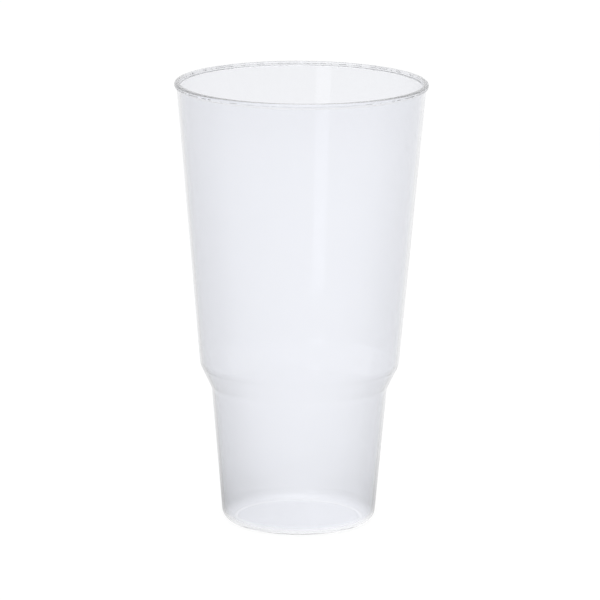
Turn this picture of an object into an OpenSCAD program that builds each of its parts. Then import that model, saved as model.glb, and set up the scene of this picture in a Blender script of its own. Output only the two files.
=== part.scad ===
/* [Overall] */
// Height from the surface it stands on to the top of the rim
cup_h = 190.5; // [160:0.5:240]
// Outside diameter of the rim bead
rim_d = 107.8; // [98:0.1:125]
// Thickness of the wall, square to its face
wall_t = 1.4; // [0.8:0.1:2]

/* [Rim bead] */
// Height of the bead
bead_h = 2.2; // [2:0.1:4]
// How far the bead stands out from the wall below it
bead_out = 1; // [0.7:0.05:1.8]
// Slope of the bead's underside, in degrees below level
bead_slope = 25; // [8:1:40]
// Rounding of the bead's top outer edge
bead_top_r = 0.95; // [0.3:0.05:1.3]
// Rounding of the bead's lower outer edge
bead_low_r = 0.5; // [0.1:0.05:0.9]
// Rounding of the mouth's inner edge
mouth_r = 0.5; // [0.1:0.05:0.8]
// Fillet where the bead's underside meets the wall
bead_root_r = 0.6; // [0.1:0.05:1]

/* [Shoulder] */
// Height of the lower bend, where the grip ends and the shoulder starts
shoulder_z = 58.2; // [45:0.1:75]
// Height that the shoulder's cone climbs
shoulder_rise = 10.4; // [7:0.1:20]
// Outside diameter at the lower bend
shoulder_low_d = 75.1; // [70:0.1:80]
// Outside diameter at the upper bend
shoulder_top_d = 85.1; // [80:0.1:96]
// Radius of the lower, hollow bend on the outer face
low_bend_r = 7; // [1:0.5:12]
// Radius of the upper, full bend on the outer face
top_bend_r = 8.5; // [3:0.5:14]

/* [Foot and floor] */
// Outside diameter of the grip where it would meet the ground without its rounding
base_d = 64.8; // [60:0.1:72]
// Rounding of the foot's outer edge
foot_r = 5.3; // [3.2:0.1:6.4]
// Thickness of the floor
floor_t = 1.6; // [1:0.1:2.4]
// Width of the level ring that the cup stands on
stand_w = 1.5; // [0.8:0.1:4]
// Height of the shallow hollow under the floor
hollow_rise = 0.3; // [0.2:0.1:2]
// Rounding where the hollow meets that ring
hollow_edge_r = 5; // [0.5:0.5:8]

/* [Hidden] */

// Widest angle that one step of a rounding turns through, in degrees, and the fewest steps
arc_step = 7.5;
least_steps = 3;
round_fn = 180;
clear_plastic = [0.9, 0.91, 0.95, 0.4];

// Points on the outer face, each as distance from the axis and height
base_at = [base_d / 2, 0];
low_at = [shoulder_low_d / 2, shoulder_z];
top_at = [shoulder_top_d / 2, shoulder_z + shoulder_rise];
neck_at = [rim_d / 2 - bead_out, cup_h - bead_h];

// Points on the inner face, one wall thickness in from the same faces
low_in = mitre(base_at, low_at, top_at, wall_t);
top_in = mitre(low_at, top_at, neck_at, wall_t);
mouth_in = at_height(beside(top_at, neck_at, wall_t), cup_h);
grip_in = beside(base_at, low_at, wall_t);
floor_corner = at_height(grip_in, floor_t);
floor_corner_r = foot_r - wall_t;

// The hollow under the floor, a dome that leaves the axis level and meets the ground at the ring
foot_lean = atan2(low_at.x - base_at.x, low_at.y - base_at.y);
ground_at = [base_at.x - foot_r / tan(45 + foot_lean / 2) - stand_w, 0];
axis_at = [0, hollow_rise];
dome_at = [ground_at.x / 2, hollow_rise];
dome_r = 0.85 * dome_at.x / tan(atan2(hollow_rise, dome_at.x) / 2);

// The floor's top, one floor thickness above the hollow
ground_in = mitre(dome_at, ground_at, base_at, floor_t);
dome_in = mitre(axis_at, dome_at, ground_at, floor_t);

function unit(v) = v / norm(v);
function turned(v) = [-v.y, v.x];

// A line as two points, moved to its left by a distance
function beside(a, b, away) = [a, b] + away * [turned(unit(b - a)), turned(unit(b - a))];

// The point of a line at one height
function at_height(line, z) =
    line[0] + (line[1] - line[0]) * (z - line[0].y) / (line[1].y - line[0].y);

// The corner at b of the path a, b, c, moved to its left by a distance
function mitre(a, b, c, away) =
    let (m = turned(unit(b - a)), n = turned(unit(c - b)))
    b + away * (m + n) / (1 + m * n);

// The corner at b of the path a, b, c, rounded by an arc of radius r that touches both sides
function rounded_corner(a, b, c, r) =
    let (
        to_a = unit(a - b),
        to_c = unit(c - b),
        half = acos(to_a * to_c) / 2,
        centre = b + unit(to_a + to_c) * r / sin(half),
        start = b + to_a * r / tan(half) - centre,
        stop = b + to_c * r / tan(half) - centre,
        first = atan2(start.y, start.x),
        turn = (atan2(stop.y, stop.x) - first + 540) % 360 - 180,
        steps = max(least_steps, ceil(abs(turn) / arc_step))
    )
    [for (i = [0 : steps]) centre + r * [cos(first + turn * i / steps), sin(first + turn * i / steps)]];

// A closed outline from corners, each a point and the radius of its rounding, or 0 for a sharp one
function rounded_outline(corners) =
    let (n = len(corners))
    [
        for (i = [0 : n - 1])
            each corners[i][1] == 0
                ? [corners[i][0]]
                : rounded_corner(corners[(i + n - 1) % n][0], corners[i][0], corners[(i + 1) % n][0], corners[i][1])
    ];

// The underside, from the axis out to the ground
underside = [
    [axis_at, 0],
    [dome_at, dome_r],
    [ground_at, hollow_edge_r],
];

// The outer face, from the foot up to the bead
outer_face = [
    [base_at, foot_r],
    [low_at, low_bend_r],
    [top_at, top_bend_r],
];

// The bead and the mouth's inner edge
bead_low = neck_at + [bead_out, bead_out * tan(bead_slope)];
bead = [
    [neck_at, bead_root_r],
    [bead_low, bead_low_r],
    [[rim_d / 2, cup_h], bead_top_r],
    [mouth_in, mouth_r],
];

// The inner face, from the mouth down to the floor
inner_face = [
    [top_in, top_bend_r - wall_t],
    [low_in, low_bend_r + wall_t],
    [floor_corner, floor_corner_r],
];

// The floor's top, from the foot to the axis
floor_top = [
    [ground_in, hollow_edge_r + floor_t],
    [dome_in, dome_r + floor_t],
    [axis_at + [0, floor_t], 0],
];

module cup() {
    color(clear_plastic)
        rotate_extrude($fn = round_fn)
            polygon(rounded_outline(concat(underside, outer_face, bead, inner_face, floor_top)));
}

cup();
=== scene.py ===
"""A tall tumbler cup of clear polypropylene, dressed over its solid model.

The cup is one moulded piece. Its skin here is the outline of the wall turned about the upright axis, finer
than the solid's own mesh, so that edges and highlights run smoothly. The cup's and the camera's lengths are
millimetres and become metres where they are used, and the studio's and the finishes' lengths are metres.
"""

from __future__ import annotations

import logging
import math
from dataclasses import dataclass, field
from enum import Enum
from typing import Any, Mapping, Sequence

import bpy
import numpy as np
from mathutils import Matrix, Vector

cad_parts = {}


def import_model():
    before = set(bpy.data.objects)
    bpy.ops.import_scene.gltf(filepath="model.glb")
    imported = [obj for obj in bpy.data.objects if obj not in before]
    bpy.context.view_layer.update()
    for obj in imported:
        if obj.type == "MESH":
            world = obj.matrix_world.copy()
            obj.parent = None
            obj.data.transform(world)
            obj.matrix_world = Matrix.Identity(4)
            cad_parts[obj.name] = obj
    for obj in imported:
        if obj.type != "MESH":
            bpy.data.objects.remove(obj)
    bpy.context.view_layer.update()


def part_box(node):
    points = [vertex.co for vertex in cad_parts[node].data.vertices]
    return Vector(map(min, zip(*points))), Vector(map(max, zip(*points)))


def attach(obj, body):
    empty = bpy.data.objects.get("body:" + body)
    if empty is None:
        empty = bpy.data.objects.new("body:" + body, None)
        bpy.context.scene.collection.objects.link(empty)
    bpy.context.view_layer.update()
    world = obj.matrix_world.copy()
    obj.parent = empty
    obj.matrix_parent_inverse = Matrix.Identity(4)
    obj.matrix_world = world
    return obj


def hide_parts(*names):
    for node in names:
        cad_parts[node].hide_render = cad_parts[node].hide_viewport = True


LOG = logging.getLogger("tumbler")
MM = 0.001
IMAGE_SIDE = 600


def unit(v: np.ndarray) -> np.ndarray:
    """A vector's direction, at length 1."""
    return v / np.linalg.norm(v)


def turned(v: np.ndarray) -> np.ndarray:
    """A plane vector turned a quarter turn to its left."""
    return np.array([-v[1], v[0]])


def mitre(a: np.ndarray, b: np.ndarray, c: np.ndarray, away: float) -> np.ndarray:
    """The corner at b of the path a, b, c after the path is moved to its left.

    With m and n the normals of the two sides, the corner is b + away (m + n) / (1 + m.n).

    Args:
        a: The point before the corner.
        b: The corner.
        c: The point after it.
        away: How far both sides move.

    Returns:
        The moved corner.
    """
    m, n = turned(unit(b - a)), turned(unit(c - b))
    return b + away * (m + n) / (1 + m @ n)


def beside_at(a: np.ndarray, b: np.ndarray, away: float, z: float) -> np.ndarray:
    """The point at height z on the line from a to b moved to its left.

    Args:
        a: One point of the line, as distance from the axis and height.
        b: Another point of it.
        away: How far the line moves.
        z: The height asked for.

    Returns:
        The point, as distance from the axis and height.
    """
    shift = away * turned(unit(b - a))
    start, stop = a + shift, b + shift
    return start + (stop - start) * (z - start[1]) / (stop[1] - start[1])


@dataclass(frozen=True)
class Corner:
    """A corner of an outline: where it is and the radius that rounds it, 0 for a sharp one."""

    at: np.ndarray
    rounding: float = 0.0


@dataclass(frozen=True)
class Outline:
    """A closed outline, as distance from the axis and height: corners joined by straight runs."""

    corners: Sequence[Corner]
    arc_step: float = math.radians(3.0)
    guard: float = 0.25
    least_steps: int = 6

    def rounded(self, index: int) -> np.ndarray:
        """One corner as an arc that touches both of its sides, with a guard point on each side.

        The arc's centre lies on the corner's bisector at r / sin(half), and it starts and ends r / tan(half)
        from the corner. The guard points lie on the straight runs, so that shading turns only on the arc.

        Args:
            index: The corner's place in the outline.

        Returns:
            The points, one a row.
        """
        corner = self.corners[index]
        before = self.corners[index - 1].at
        after = self.corners[(index + 1) % len(self.corners)].at
        if corner.rounding == 0:
            return corner.at[None]
        to_a, to_c = unit(before - corner.at), unit(after - corner.at)
        half = math.acos(float(to_a @ to_c)) / 2
        reach = corner.rounding / math.tan(half)
        centre = corner.at + unit(to_a + to_c) * corner.rounding / math.sin(half)
        start, stop = corner.at + to_a * reach, corner.at + to_c * reach
        first = math.atan2(*(start - centre)[::-1])
        turn = (math.atan2(*(stop - centre)[::-1]) - first + math.pi) % math.tau - math.pi
        steps = max(self.least_steps, math.ceil(abs(turn) / self.arc_step))
        angle = first + turn * np.linspace(0, 1, steps + 1)
        arc = centre + corner.rounding * np.stack([np.cos(angle), np.sin(angle)], 1)
        return np.concatenate([[start + to_a * self.guard], arc, [stop + to_c * self.guard]])

    def points(self) -> np.ndarray:
        """The whole outline as points, one a row, from its first corner round to its last."""
        return np.concatenate([self.rounded(i) for i in range(len(self.corners))])


@dataclass
class Bead:
    """The rim's bead, in millimetres and degrees."""

    height: float = 2.2
    out: float = 1.0
    slope: float = 25.0
    top_rounding: float = 0.95
    low_rounding: float = 0.5
    mouth_rounding: float = 0.5
    root_rounding: float = 0.6

    def corners(self, neck: np.ndarray, rim_r: float, cup_h: float, mouth: np.ndarray) -> list[Corner]:
        """The bead's corners, from the wall under it to the mouth's inner edge.

        Args:
            neck: The outer face's point under the bead.
            rim_r: The bead's outer radius.
            cup_h: The cup's height.
            mouth: The inner face's point at the top.

        Returns:
            The corners in order.
        """
        low = np.array([rim_r, neck[1] + (rim_r - neck[0]) * math.tan(math.radians(self.slope))])
        return [
            Corner(neck, self.root_rounding),
            Corner(low, self.low_rounding),
            Corner(np.array([rim_r, cup_h]), self.top_rounding),
            Corner(mouth, self.mouth_rounding),
        ]


@dataclass
class Floor:
    """The cup's floor over its shallow domed hollow, in millimetres."""

    thickness: float = 1.6
    stand_width: float = 1.5
    hollow_rise: float = 0.3
    dome_share: float = 0.85
    edge_rounding: float = 5.0

    def ground(self, foot: float) -> np.ndarray:
        """The point where the hollow meets the ground, with the foot's outer reach given."""
        return np.array([foot - self.stand_width, 0.0])

    def dome(self, foot: float) -> Corner:
        """The corner that the hollow's dome rounds, half way out.

        The dome takes up the named share of the run from the axis to the corner.

        Args:
            foot: Distance from the axis at which the foot's outer rounding reaches the ground.

        Returns:
            The corner, with the dome's radius.
        """
        middle = self.ground(foot)[0] / 2
        return Corner(np.array([middle, self.hollow_rise]),
                      self.dome_share * middle / math.tan(math.atan2(self.hollow_rise, middle) / 2))

    def underside(self, foot: float) -> list[Corner]:
        """The corners of the underside, from the axis out to the ground.

        Args:
            foot: Distance from the axis at which the foot's outer rounding reaches the ground.

        Returns:
            The corners in order.
        """
        return [
            Corner(np.array([0.0, self.hollow_rise])),
            self.dome(foot),
            Corner(self.ground(foot), self.edge_rounding),
        ]

    def top(self, foot: float, base: np.ndarray) -> list[Corner]:
        """The corners of the floor's top, from the foot in to the axis.

        Args:
            foot: Distance from the axis at which the foot's outer rounding reaches the ground.
            base: The outer face's point on the ground.

        Returns:
            The corners in order.
        """
        axis, dome, ground = np.array([0.0, self.hollow_rise]), self.dome(foot), self.ground(foot)
        return [
            Corner(mitre(dome.at, ground, base, self.thickness), self.edge_rounding + self.thickness),
            Corner(mitre(axis, dome.at, ground, self.thickness), dome.rounding + self.thickness),
            Corner(axis + [0.0, self.thickness]),
        ]


@dataclass
class Wall:
    """The wall's outer face and its thickness, in millimetres."""

    thickness: float = 1.4
    base_d: float = 64.8
    foot_rounding: float = 5.3
    shoulder_z: float = 58.2
    shoulder_rise: float = 10.4
    shoulder_low_d: float = 75.1
    shoulder_top_d: float = 85.1
    low_bend: float = 7.0
    top_bend: float = 8.5

    def base(self) -> np.ndarray:
        """The outer face's point on the ground."""
        return np.array([self.base_d / 2, 0.0])

    def foot(self) -> float:
        """How far from the axis the foot's rounding reaches the ground."""
        lean = math.atan2(self.low()[0] - self.base()[0], self.low()[1])
        return self.base()[0] - self.foot_rounding / math.tan(math.pi / 4 + lean / 2)

    def low(self) -> np.ndarray:
        """The lower bend on the outer face."""
        return np.array([self.shoulder_low_d / 2, self.shoulder_z])

    def high(self) -> np.ndarray:
        """The upper bend on the outer face."""
        return np.array([self.shoulder_top_d / 2, self.shoulder_z + self.shoulder_rise])


def revolve(name: str, profile: np.ndarray, around: int) -> bpy.types.Object:
    """A closed skin: a profile that starts and ends on the axis, turned about it.

    A point is (r(u) cos v, r(u) sin v, z(u)), with u along the profile and v round the axis. The profile's
    two ends are single poles, and its order puts the faces outwards when it runs up the outside.

    Args:
        name: The piece's name.
        profile: Points as distance from the axis and height, in metres.
        around: How many steps go round.

    Returns:
        The piece, linked to the scene.
    """
    ring = profile[1:-1]
    v = np.linspace(0, math.tau, around, endpoint=False)
    grid = np.empty((len(ring), around, 3))
    grid[..., 0] = ring[:, :1] * np.cos(v)
    grid[..., 1] = ring[:, :1] * np.sin(v)
    grid[..., 2] = ring[:, 1:]
    poles = [[0.0, 0.0, profile[0, 1]], [0.0, 0.0, profile[-1, 1]]]
    points = np.concatenate([grid.reshape(-1, 3), poles])
    here = np.arange(around)
    there = (here + 1) % around
    low = np.arange(len(ring) - 1)[:, None] * around
    high = low + around
    quads = np.stack([low + here, low + there, high + there, high + here], -1).reshape(-1, 4)
    first_pole, last_pole = len(points) - 2, len(points) - 1
    last_row = (len(ring) - 1) * around
    first_fan = np.stack([np.full(around, first_pole), there, here], -1)
    last_fan = np.stack([np.full(around, last_pole), last_row + here, last_row + there], -1)
    mesh = bpy.data.meshes.new(name)
    mesh.from_pydata(points.tolist(), [], quads.tolist() + first_fan.tolist() + last_fan.tolist())
    mesh.shade_smooth()
    piece = bpy.data.objects.new(name, mesh)
    bpy.context.scene.collection.objects.link(piece)
    return piece


class Sum(Enum):
    """The Math node's operation behind each operator."""

    ADD = "ADD"
    SUBTRACT = "SUBTRACT"
    MULTIPLY = "MULTIPLY"
    DIVIDE = "DIVIDE"
    POWER = "POWER"
    MAXIMUM = "MAXIMUM"


@dataclass(frozen=True)
class Value:
    """A socket that carries a number, with operators that add Math nodes."""

    nodes: "Nodes"
    socket: bpy.types.NodeSocket

    def _with(self, kind: Sum, left: "Value | float", right: "Value | float") -> "Value":
        """A Math node's result from two terms."""
        return self.nodes.value("ShaderNodeMath", {"operation": kind.value}, {0: left, 1: right})

    def __add__(self, other: "Value | float") -> "Value":
        """This number plus another."""
        return self._with(Sum.ADD, self, other)

    def __radd__(self, other: float) -> "Value":
        """A plain number plus this one."""
        return self._with(Sum.ADD, other, self)

    def __sub__(self, other: "Value | float") -> "Value":
        """This number less another."""
        return self._with(Sum.SUBTRACT, self, other)

    def __rsub__(self, other: float) -> "Value":
        """A plain number less this one."""
        return self._with(Sum.SUBTRACT, other, self)

    def __mul__(self, other: "Value | float") -> "Value":
        """This number times another."""
        return self._with(Sum.MULTIPLY, self, other)

    def __rmul__(self, other: float) -> "Value":
        """A plain number times this one."""
        return self._with(Sum.MULTIPLY, other, self)

    def __truediv__(self, other: "Value | float") -> "Value":
        """This number over another."""
        return self._with(Sum.DIVIDE, self, other)

    def __rtruediv__(self, other: float) -> "Value":
        """A plain number over this one."""
        return self._with(Sum.DIVIDE, other, self)

    def __pow__(self, other: "Value | float") -> "Value":
        """This number to a power."""
        return self._with(Sum.POWER, self, other)

    def at_least(self, other: "Value | float") -> "Value":
        """The larger of this number and another."""
        return self._with(Sum.MAXIMUM, self, other)


class Nodes:
    """The node tree of one material or world."""

    def __init__(self, owner: bpy.types.Material | bpy.types.World) -> None:
        """Clears the owner's tree.

        Args:
            owner: The material or world that the nodes belong to.
        """
        owner.use_nodes = True
        self.tree = owner.node_tree
        self.tree.nodes.clear()

    def add(self, kind: str, settings: Mapping[str, Any] | None = None,
            sockets: Mapping[str | int, Any] | None = None) -> bpy.types.Node:
        """One node, with its settings made before its sockets are filled.

        Args:
            kind: The node's type.
            settings: Its own properties.
            sockets: Values or links for its inputs, by name or place.

        Returns:
            The node.
        """
        node = self.tree.nodes.new(kind)
        for name, setting in (settings or {}).items():
            setattr(node, name, setting)
        for key, given in (sockets or {}).items():
            if isinstance(given, Value):
                self.tree.links.new(given.socket, node.inputs[key])
            elif isinstance(given, bpy.types.NodeSocket):
                self.tree.links.new(given, node.inputs[key])
            else:
                node.inputs[key].default_value = given
        return node

    def value(self, kind: str, settings: Mapping[str, Any] | None = None,
              sockets: Mapping[str | int, Any] | None = None, output: str | int = 0) -> Value:
        """A node's number output, ready for sums.

        Args:
            kind: The node's type.
            settings: Its own properties.
            sockets: Values or links for its inputs.
            output: Which output carries the number.

        Returns:
            The output as a Value.
        """
        return Value(self, self.add(kind, settings, sockets).outputs[output])

    def noise(self, place: bpy.types.NodeSocket, scale: float, detail: float) -> Value:
        """Smooth noise.

        Args:
            place: Where on the piece it is read.
            scale: How fine it is.
            detail: How many finer layers it has.

        Returns:
            The noise.
        """
        return self.value("ShaderNodeTexNoise", {}, {"Vector": place, "Scale": scale, "Detail": detail})


@dataclass(frozen=True)
class ClearPolypropylene:
    """Clarified polypropylene: clear and glossy, with a cool cast, faint clouding and moulded streaks.

    The haze is a thin scatter inside the plastic, which lets out light caught in the rim and the foot.
    """

    tint: tuple[float, float, float] = (0.945, 0.953, 0.98)
    cloud_tint: tuple[float, float, float] = (0.935, 0.943, 0.972)
    ior: float = 1.49
    clear: float = 1.0
    roughness: float = 0.03
    roughness_swing: float = 0.012
    cloud_scale: float = 28.0
    cloud_detail: float = 3.0
    streak_scale: float = 60.0
    streak_detail: float = 2.0
    streak_squeeze: float = 0.06
    streak_share: float = 0.8
    grain_scale: float = 900.0
    grain_detail: float = 1.0
    bump_height: float = 0.000002
    haze: float = 20.0
    haze_tint: tuple[float, float, float] = (0.97, 0.975, 1.0)

    def material(self, name: str) -> bpy.types.Material:
        """Builds the finish.

        Clouding mixes the two tints. Streaks are noise stretched along the axis, and they move the roughness
        and, with a fine grain, the bump.

        Args:
            name: The material's name.

        Returns:
            The material.
        """
        made = bpy.data.materials.new(name)
        nodes = Nodes(made)
        place = nodes.add("ShaderNodeTexCoord").outputs["Object"]
        squeeze = (1.0, 1.0, self.streak_squeeze)
        drawn = nodes.add("ShaderNodeMapping", {}, {"Vector": place, "Scale": squeeze}).outputs[0]
        cloud = nodes.noise(place, self.cloud_scale, self.cloud_detail)
        streak = nodes.noise(drawn, self.streak_scale, self.streak_detail)
        grain = nodes.noise(place, self.grain_scale, self.grain_detail)
        colour = nodes.add("ShaderNodeMix", {"data_type": "RGBA"},
                           {"Factor": cloud, "A": (*self.tint, 1.0), "B": (*self.cloud_tint, 1.0)})
        rough = self.roughness + (streak * 2.0 - 1.0) * self.roughness_swing
        relief = streak * self.streak_share + grain * (1.0 - self.streak_share)
        bump = nodes.add("ShaderNodeBump", {},
                         {"Height": relief, "Distance": self.bump_height, "Strength": 1.0})
        skin = nodes.add("ShaderNodeBsdfPrincipled", {}, {
            "Base Color": colour.outputs["Result"],
            "Roughness": rough,
            "IOR": self.ior,
            "Transmission Weight": self.clear,
            "Normal": bump.outputs["Normal"],
        })
        haze = nodes.add("ShaderNodeVolumeScatter", {},
                         {"Color": (*self.haze_tint, 1.0), "Density": self.haze})
        nodes.add("ShaderNodeOutputMaterial", {}, {"Surface": skin.outputs[0], "Volume": haze.outputs[0]})
        return made


@dataclass
class Tumbler:
    """The moulded cup. Its height and rim come from the solid model."""

    cup_h: float
    rim_r: float
    around: int = 360
    wall: Wall = field(default_factory=Wall)
    bead: Bead = field(default_factory=Bead)
    floor: Floor = field(default_factory=Floor)
    finish: ClearPolypropylene = field(default_factory=ClearPolypropylene)

    @classmethod
    def from_frame(cls) -> "Tumbler":
        """A cup as high and as wide as the solid model's box."""
        low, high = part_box("cup")
        return cls(cup_h=high.z / MM, rim_r=min(-low.x, -low.y, high.x, high.y) / MM)

    def outline(self) -> Outline:
        """The wall's section, from the axis under the floor, up the outside and down the inside to the axis.

        Returns:
            The section as a closed outline.
        """
        wall, floor = self.wall, self.floor
        base, low, high = wall.base(), wall.low(), wall.high()
        neck = np.array([self.rim_r - self.bead.out, self.cup_h - self.bead.height])
        mouth = beside_at(high, neck, wall.thickness, self.cup_h)
        foot_inside = beside_at(base, low, wall.thickness, floor.thickness)
        inside = [
            Corner(mitre(low, high, neck, wall.thickness), wall.top_bend - wall.thickness),
            Corner(mitre(base, low, high, wall.thickness), wall.low_bend + wall.thickness),
            Corner(foot_inside, wall.foot_rounding - wall.thickness),
        ]
        outside = [Corner(base, wall.foot_rounding), Corner(low, wall.low_bend), Corner(high, wall.top_bend)]
        bead = self.bead.corners(neck, self.rim_r, self.cup_h, mouth)
        return Outline(floor.underside(wall.foot()) + outside + bead + inside + floor.top(wall.foot(), base))

    def build(self) -> bpy.types.Object:
        """The cup's skin, riding where the solid is and standing for it.

        Returns:
            The piece.
        """
        piece = revolve("tumbler", self.outline().points() * MM, self.around)
        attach(piece, "root")
        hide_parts("cup")
        return piece

    def dress(self, piece: bpy.types.Object) -> None:
        """Gives the cup its finish.

        Args:
            piece: The cup's skin.
        """
        piece.data.materials.append(self.finish.material("clear_polypropylene"))


@dataclass(frozen=True)
class Viewpoint:
    """The photograph's camera, in millimetres, degrees and pixels."""

    distance: float = 2253.6
    height: float = 588.1
    focal_pixels: float = 5404.7
    pitch: float = 12.316
    roll: float = 0.41
    sensor: float = 36.0
    clip: tuple[float, float] = (50.0, 50000.0)

    def build(self) -> bpy.types.Object:
        """Makes the scene's camera.

        The camera looks along +Y, pitched down, and rolls so that the cup leans to the right by the roll.

        Returns:
            The camera.
        """
        data = bpy.data.cameras.new("viewpoint")
        data.sensor_width = self.sensor
        data.lens = self.focal_pixels / IMAGE_SIDE * self.sensor
        data.clip_start, data.clip_end = (edge * MM for edge in self.clip)
        camera = bpy.data.objects.new("viewpoint", data)
        pitch, roll = math.radians(self.pitch), math.radians(self.roll)
        ahead = Vector((0.0, math.cos(pitch), -math.sin(pitch)))
        right = Vector((1.0, 0.0, 0.0))
        up = right.cross(ahead)
        leaned_right = math.cos(roll) * right + math.sin(roll) * up
        leaned_up = math.cos(roll) * up - math.sin(roll) * right
        turn = Matrix((leaned_right, leaned_up, -ahead)).transposed()
        place = Matrix.Translation((0.0, -self.distance * MM, self.height * MM))
        camera.matrix_world = place @ turn.to_4x4()
        bpy.context.scene.collection.objects.link(camera)
        bpy.context.scene.camera = camera
        return camera


@dataclass(frozen=True)
class Softbox:
    """A rectangular lamp that faces a point, in metres and watts."""

    name: str
    at: tuple[float, float, float]
    towards: tuple[float, float, float]
    size: tuple[float, float]
    power: float

    def build(self) -> bpy.types.Object:
        """Makes the lamp.

        Returns:
            The lamp.
        """
        data = bpy.data.lights.new(self.name, "AREA")
        data.shape = "RECTANGLE"
        data.size, data.size_y = self.size
        data.energy = self.power
        lamp = bpy.data.objects.new(self.name, data)
        aim = Vector(self.towards) - Vector(self.at)
        lamp.matrix_world = Matrix.Translation(self.at) @ aim.to_track_quat("-Z", "Y").to_matrix().to_4x4()
        bpy.context.scene.collection.objects.link(lamp)
        return lamp


@dataclass(frozen=True)
class Paper:
    """Plain white paper under and behind the cup, which the camera sees as white.

    Rays that pass through the cup or glance off it see a painted tone of its own, painted light and shade.
    It is bright behind the cup and in front of it, a painted pool of light, and darker beside it, painted
    shade; near the cup it carries the cup's painted shadow, under the cup painted light, and far off it is
    nearly the room's own.
    A tone of 1 is white, and lengths are metres.
    """

    grey: float = 0.12
    lit: float = 1.2
    white: float = 1.06
    # behind, beside and before: painted light behind and in front of the cup, painted shade beside it
    behind: float = 1.04
    beside: float = 0.57
    beside_far: float = 0.98
    beside_reach: float = 1.15
    beside_power: float = 4.0
    before: float = 1.08
    # painted light on the floor under the cup
    under: float = 1.09
    behind_power: float = 3.0
    before_power: float = 0.7
    # painted light: the right side brighter than the left
    lean: float = 0.12
    foot_reach: float = 0.036
    foot_power: float = 8.0
    # the cup's painted shadow on the floor near it: its depth, reach, fall-off and share beside the cup
    painted_shadow_depth: float = 0.09
    painted_shadow_reach: float = 0.18
    painted_shadow_power: float = 2.0
    painted_shadow_beside: float = 0.5
    # painted shade on the floor and backdrop far from the cup
    painted_far_shade: float = 0.07
    far_reach: float = 0.97
    far_power: float = 16.0

    def tone(self, nodes: Nodes) -> Value:
        """The painted light and shade that rays from the cup see.

        With r the distance from the cup's axis and c = y / r, the open floor's painted tone is beside, plus
        (behind - beside) c^p where c > 0, plus (before - beside) (-c)^q where c < 0: a painted pool of light
        behind and in front of the cup and painted shade beside it. Beside goes over to its far tone with 1 /
        (1 + (d / r)^4).
        The cup's painted shadow dims the floor by n / (1 + (r / a)^2) near the cup, less so beside it, and
        painted shade dims it by f / (1 + (b / r)^16) far from it. Under the cup it goes over to its own
        painted light with
        1 / (1 + (r / foot)^8). The right side is painted brighter than the left by x / (r + foot) times the
        lean, which fades as beside goes over.

        Args:
            nodes: The material's nodes.

        Returns:
            The tone, painted light and shade.
        """
        place = nodes.add("ShaderNodeTexCoord").outputs["Object"]
        apart = nodes.add("ShaderNodeSeparateXYZ", {}, {"Vector": place}).outputs
        across, along = Value(nodes, apart["X"]), Value(nodes, apart["Y"])
        away = (across * across + along * along) ** 0.5
        # painted light under the cup
        under = 1.0 / (1.0 + (away / self.foot_reach) ** self.foot_power)
        behind = (along / away).at_least(0.0) ** self.behind_power
        before = (-1.0 * along / away).at_least(0.0) ** self.before_power
        far_off = 1.0 / (1.0 + (self.beside_reach / away) ** self.beside_power)
        beside = self.beside + far_off * (self.beside_far - self.beside)
        # painted pool of light behind and in front of the cup, painted shade beside it
        floor = beside + behind * (self.behind - beside) + before * (self.before - beside)
        shade = self.painted_shadow_beside + (1.0 - self.painted_shadow_beside) * behind
        # the cup's painted shadow near it, weaker beside it
        near = 1.0 - shade * self.painted_shadow_depth / (1.0 + (away / self.painted_shadow_reach) ** self.painted_shadow_power)
        # painted shade far from the cup
        far = 1.0 - self.painted_far_shade / (1.0 + (self.far_reach / away) ** self.far_power)
        # painted light, brighter on the right side
        lean = 1.0 + across / (away + self.foot_reach) * (1.0 - far_off) * self.lean
        return (under * self.under + (1.0 - under) * floor * (near * far)) * lean

    def material(self, name: str) -> bpy.types.Material:
        """Builds the finish: matt paper, and a glow that fills up to white for the camera, or to the tone's
        painted light and shade for glossy and transmission rays.

        Args:
            name: The material's name.

        Returns:
            The material.
        """
        made = bpy.data.materials.new(name)
        nodes = Nodes(made)
        rays = nodes.add("ShaderNodeLightPath").outputs
        straight = Value(nodes, rays["Is Camera Ray"])
        through = Value(nodes, rays["Is Glossy Ray"]).at_least(Value(nodes, rays["Is Transmission Ray"]))
        own = self.grey * self.lit
        # for camera rays the glow fills up to white; for glossy and transmission rays it is painted light
        # and shade
        glow = straight * (self.white - own) + through * (self.tone(nodes) - own)
        matte = nodes.add("ShaderNodeBsdfDiffuse", {}, {"Color": (self.grey, self.grey, self.grey, 1.0)})
        light = nodes.add("ShaderNodeEmission", {}, {"Color": glow, "Strength": 1.0})
        both = nodes.add("ShaderNodeAddShader", {}, {0: matte.outputs[0], 1: light.outputs[0]})
        nodes.add("ShaderNodeOutputMaterial", {}, {"Surface": both.outputs[0]})
        return made


@dataclass(frozen=True)
class Room:
    """The room's plain light, brighter upwards, which the camera sees as white. A level of 1 is white."""

    level: float = 0.92
    overhead: float = 1.3

    def build(self) -> None:
        """Makes the world. Its light goes from the level to the overhead one with the sine of the height."""
        world = bpy.data.worlds.new("room")
        bpy.context.scene.world = world
        nodes = Nodes(world)
        straight = nodes.add("ShaderNodeLightPath").outputs["Is Camera Ray"]
        place = nodes.add("ShaderNodeTexCoord").outputs["Generated"]
        up = nodes.value("ShaderNodeSeparateXYZ", {}, {"Vector": place}, "Z").at_least(0.0)
        glow = self.level + up * (self.overhead - self.level)
        light = nodes.add("ShaderNodeBackground", {}, {"Color": glow})
        white = nodes.add("ShaderNodeBackground", {}, {"Color": (1.0, 1.0, 1.0, 1.0)})
        mixed = nodes.add("ShaderNodeMixShader", {}, {0: straight, 1: light.outputs[0], 2: white.outputs[0]})
        nodes.add("ShaderNodeOutputWorld", {}, {"Surface": mixed.outputs[0]})


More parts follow.
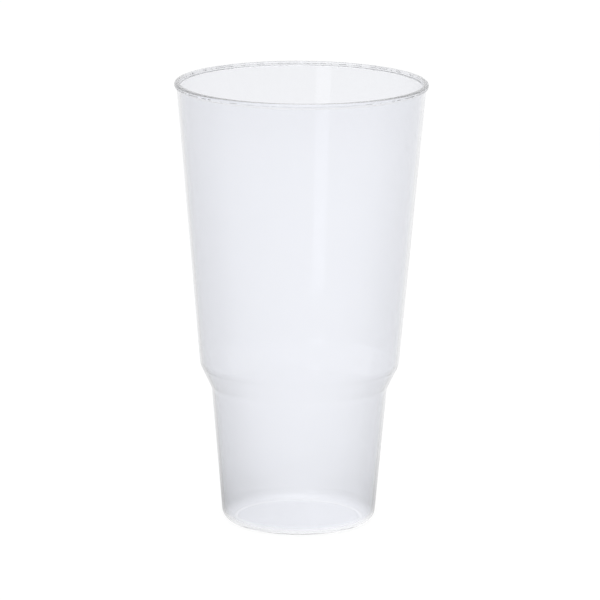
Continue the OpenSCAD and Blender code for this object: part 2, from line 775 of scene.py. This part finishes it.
@dataclass(frozen=True)
class Sweep:
    """The floor that bends up into the backdrop, in metres.

    The upright back is nearer to the cup than the camera is, so it hides the cup in views from behind.
    """

    half_width: float = 4.5
    front: float = 4.5
    back: float = 1.4
    height: float = 1.6
    bend: float = 0.5
    bend_steps: int = 24
    columns: int = 3
    paper: Paper = Paper()

    def build(self) -> bpy.types.Object:
        """Makes the sweep.

        A point is (x, y(t), z(t)): level from the front, a quarter turn at the bend's radius, then upright.

        Returns:
            The sweep.
        """
        angle = np.linspace(0, math.pi / 2, self.bend_steps + 1)
        y = np.concatenate([[-self.front], self.back - self.bend + self.bend * np.sin(angle), [self.back]])
        z = np.concatenate([[0.0], self.bend * (1 - np.cos(angle)), [self.height]])
        x = np.linspace(-self.half_width, self.half_width, self.columns)
        grid = np.stack(np.broadcast_arrays(x[None, :], y[:, None], z[:, None]), -1)
        count = self.columns
        low = (np.arange(len(y) - 1)[:, None] * count + np.arange(count - 1)).reshape(-1)
        faces = np.stack([low, low + 1, low + 1 + count, low + count], -1)
        mesh = bpy.data.meshes.new("sweep")
        mesh.from_pydata(grid.reshape(-1, 3).tolist(), [], faces.tolist())
        mesh.shade_smooth()
        sweep = bpy.data.objects.new("sweep", mesh)
        bpy.context.scene.collection.objects.link(sweep)
        mesh.materials.append(self.paper.material("paper"))
        return sweep


@dataclass(frozen=True)
class Studio:
    """The sweep, the room and the lamps, with light paths long enough for light caught in clear plastic."""

    bounces: int = 64
    scatters: int = 16
    sweep: Sweep = Sweep()
    room: Room = Room()
    lamps: tuple[Softbox, ...] = (
        Softbox("top", (0.0, 0.0, 2.0), (0.0, 0.0, 0.1), (2.0, 2.0), 6.0),
        Softbox("left_strip", (-0.72, -1.86, 0.75), (0.0, 0.0, 0.75), (0.5, 1.5), 1.4),
    )

    def build(self) -> None:
        """Makes the sweep, the room's light and the lamps, and sets the light paths and the view."""
        self.sweep.build()
        self.room.build()
        for lamp in self.lamps:
            lamp.build()
        bpy.context.scene.view_settings.view_transform = "Standard"
        paths = bpy.context.scene.cycles
        paths.max_bounces = paths.glossy_bounces = paths.transmission_bounces = self.bounces
        paths.volume_bounces = self.scatters


def main() -> None:
    """Loads the frame, builds the camera, the cup and the studio, and reports each piece."""
    logging.basicConfig(level=logging.INFO, format="%(message)s")
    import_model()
    Viewpoint().build()
    cup = Tumbler.from_frame()
    piece = cup.build()
    cup.dress(piece)
    LOG.info("%s: %d vertices, %d faces", piece.name, len(piece.data.vertices), len(piece.data.polygons))
    Studio().build()


if __name__ == "__main__":
    main()
